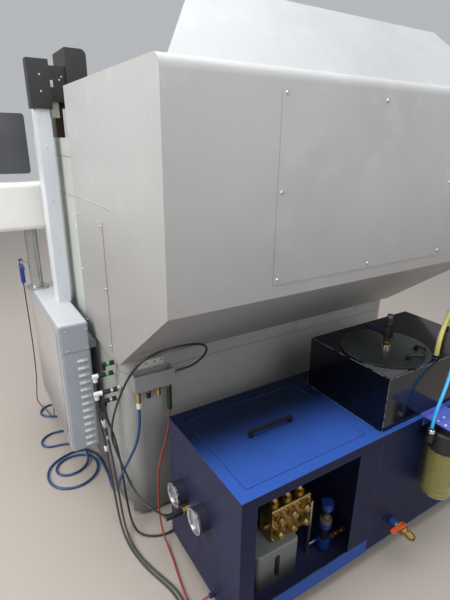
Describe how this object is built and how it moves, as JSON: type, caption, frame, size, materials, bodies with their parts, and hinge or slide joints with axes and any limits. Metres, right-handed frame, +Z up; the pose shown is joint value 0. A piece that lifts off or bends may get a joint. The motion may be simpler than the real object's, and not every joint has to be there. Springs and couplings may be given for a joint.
{
  "type": "electrical discharge drilling machine",
  "caption": "Hole-drilling machine with a travelling head under a rear hood, side cabinet, swivelling console and a separate pump and water tank unit.",
  "frame": {"origin": "on the floor, under the base casting's middle levelling foot", "axes": "+Z up, -Y towards the operator at the machine's front, +X towards the side with the electrical cabinet and the console"},
  "size_m": [2.047, 2.076, 2.07],
  "materials": {
    "base_paint": "satin",
    "bright_steel": "brushed",
    "screw_steel": "satin",
    "saddle_metal": "satin",
    "head_paint": "satin",
    "hood_paint": "satin",
    "guard_paint": "satin",
    "black_paint": "satin",
    "splash_paint": "satin",
    "clear_pane": "gloss",
    "duct_paint": "satin",
    "cabinet_paint": "satin",
    "module_plastic": "matt",
    "console_paint": "satin",
    "monitor_plastic": "satin",
    "green_plastic": "gloss",
    "red_plastic": "gloss",
    "gun_plastic": "satin",
    "black_plastic": "matt",
    "brass": "satin",
    "unit_paint": "satin",
    "lid_paint": "satin",
    "tank_paint": "satin",
    "round_lid_paint": "satin",
    "navy_sleeve": "satin",
    "orange_grip": "gloss",
    "gauge_steel": "polished",
    "drive_paint": "satin",
    "filter_plastic": "matt",
    "clear_bowl": "gloss",
    "black_rubber": "matt",
    "blue_tube": "gloss",
    "bright_blue_tube": "gloss",
    "brown_tube": "satin",
    "red_tube": "satin",
    "yellow_tube": "gloss"
  },
  "bodies": {
    "machine": {"base_casting": "base_paint", "levelling_feet": "bright_steel", "work_table": "bright_steel", "column": "base_paint", "hood": "hood_paint", "rear_panel": "hood_paint", "side_panel": "hood_paint", "panel_screws": "screw_steel", "roof_guard": "guard_paint", "splash_guard": "splash_paint", "cable_duct": "duct_paint", "cable_bridge": "black_paint", "electrical_cabinet": "cabinet_paint", "control_modules": "module_plastic", "console_post": "bright_steel", "air_gun": "gun_plastic", "manifold_block": "head_paint", "manifold_fittings": "brass", "side_connectors": "black_plastic", "pump_cabinet": "unit_paint", "tank": "unit_paint", "tank_box": "tank_paint", "drain_valve": "brass", "gauges": "gauge_steel", "pump_head": "brass", "pump_drive": "drive_paint", "pump_piping": "bright_steel", "filter_housing": "filter_plastic", "filter_bowl": "clear_bowl", "pressure_hose": "black_rubber", "blue_hose": "blue_tube", "cable_a": "black_rubber", "cable_b": "black_rubber", "floor_hose": "black_rubber", "red_hose": "red_tube", "gun_hose": "brown_tube", "filter_tube": "bright_blue_tube", "yellow_hose": "yellow_tube"},
    "x_axis": {"x_saddle": "saddle_metal"},
    "y_axis": {"ram": "head_paint", "head_frame": "head_paint"},
    "z_axis": {"spindle_slide": "saddle_metal"},
    "spindle_body": {"spindle": "bright_steel", "electrode": "brass"},
    "w_axis": {"guide_arm": "saddle_metal"},
    "sliding_door": {"front_door": "splash_paint", "door_window": "clear_pane"},
    "cabinet_leaf": {"cabinet_door": "cabinet_paint"},
    "console_head": {"console": "console_paint"},
    "screen": {"monitor": "monitor_plastic"},
    "button": {"cycle_button": "green_plastic"},
    "stop_button": {"emergency_stop": "red_plastic"},
    "trigger": {"gun_trigger": "gun_plastic"},
    "unit_lid": {"pump_lid": "lid_paint"},
    "tank_lid": {"round_lid": "round_lid_paint", "lid_valve": "bright_steel"},
    "valve_lever": {"lid_lever": "navy_sleeve"},
    "drain_handle": {"drain_lever": "orange_grip"},
    "pointer_1": {"gauge_pointer_1": "black_plastic"},
    "pointer_2": {"gauge_pointer_2": "black_plastic"}
  },
  "joints": [
    {"name": "x_travel", "type": "slide", "parent": "machine", "child": "x_axis", "axis": [1, 0, 0], "range_m": [-0.2, 0.2]},
    {"name": "y_travel", "type": "slide", "parent": "x_axis", "child": "y_axis", "axis": [0, 1, 0], "range_m": [-0.15, 0.15]},
    {"name": "z_travel", "type": "slide", "parent": "y_axis", "child": "z_axis", "axis": [0, 0, 1], "range_m": [-0.245, 0]},
    {"name": "spindle_turn", "type": "hinge", "parent": "z_axis", "child": "spindle_body", "pos_m": [0, -0.282, 1.5], "axis": [0, 0, 1], "continuous": true},
    {"name": "guide_travel", "type": "slide", "parent": "y_axis", "child": "w_axis", "axis": [0, 0, 1], "range_m": [-0.2, 0]},
    {"name": "door_slide", "type": "slide", "parent": "machine", "child": "sliding_door", "axis": [-1, 0, 0], "range_m": [0, 0.69]},
    {"name": "cabinet_hinge", "type": "hinge", "parent": "machine", "child": "cabinet_leaf", "pos_m": [0.945, 0.2587, 0.55], "axis": [0, 0, 1], "range_deg": [0, 110]},
    {"name": "console_swivel", "type": "hinge", "parent": "machine", "child": "console_head", "pos_m": [0.913, -0.294, 1.19], "axis": [0, 0, 1], "range_deg": [-35, 30]},
    {"name": "monitor_tilt", "type": "hinge", "parent": "console_head", "child": "screen", "pos_m": [1.072, -0.252, 1.436], "axis": [1, 0, 0], "range_deg": [-15, 25]},
    {"name": "cycle_press", "type": "slide", "parent": "console_head", "child": "button", "axis": [0, 0.8064, -0.5914], "range_m": [0, 0.004], "stiffness_N_per_m": 400, "springref_m": -0.004},
    {"name": "stop_press", "type": "slide", "parent": "console_head", "child": "stop_button", "axis": [0, 0.8064, -0.5914], "range_m": [0, 0.004]},
    {"name": "gun_squeeze", "type": "hinge", "parent": "machine", "child": "trigger", "pos_m": [0.968, -0.3595, 0.9632], "axis": [-1, 0, 0], "range_deg": [0, 7], "stiffness_Nm_per_rad": 0.5, "springref_deg": -8.59},
    {"name": "unit_lid_lift", "type": "slide", "parent": "machine", "child": "unit_lid", "axis": [0, 0, 1], "range_m": [0, 0.25]},
    {"name": "tank_lid_lift", "type": "slide", "parent": "machine", "child": "tank_lid", "axis": [0, 0, 1], "range_m": [0, 0.12]},
    {"name": "lid_valve_turn", "type": "hinge", "parent": "tank_lid", "child": "valve_lever", "pos_m": [-0.112, 1.108, 0.9275], "axis": [-1, 0, 0], "range_deg": [0, 90]},
    {"name": "drain_valve_turn", "type": "hinge", "parent": "machine", "child": "drain_handle", "pos_m": [-0.085, 1.346, 0.18], "axis": [0, 0, 1], "range_deg": [0, 90]},
    {"name": "gauge_1_turn", "type": "hinge", "parent": "machine", "child": "pointer_1", "pos_m": [0.7003, 0.904, 0.365], "axis": [1, 0, 0], "range_deg": [0, 270]},
    {"name": "gauge_2_turn", "type": "hinge", "parent": "machine", "child": "pointer_2", "pos_m": [0.7003, 1.069, 0.385], "axis": [1, 0, 0], "range_deg": [0, 270]}
  ]
}
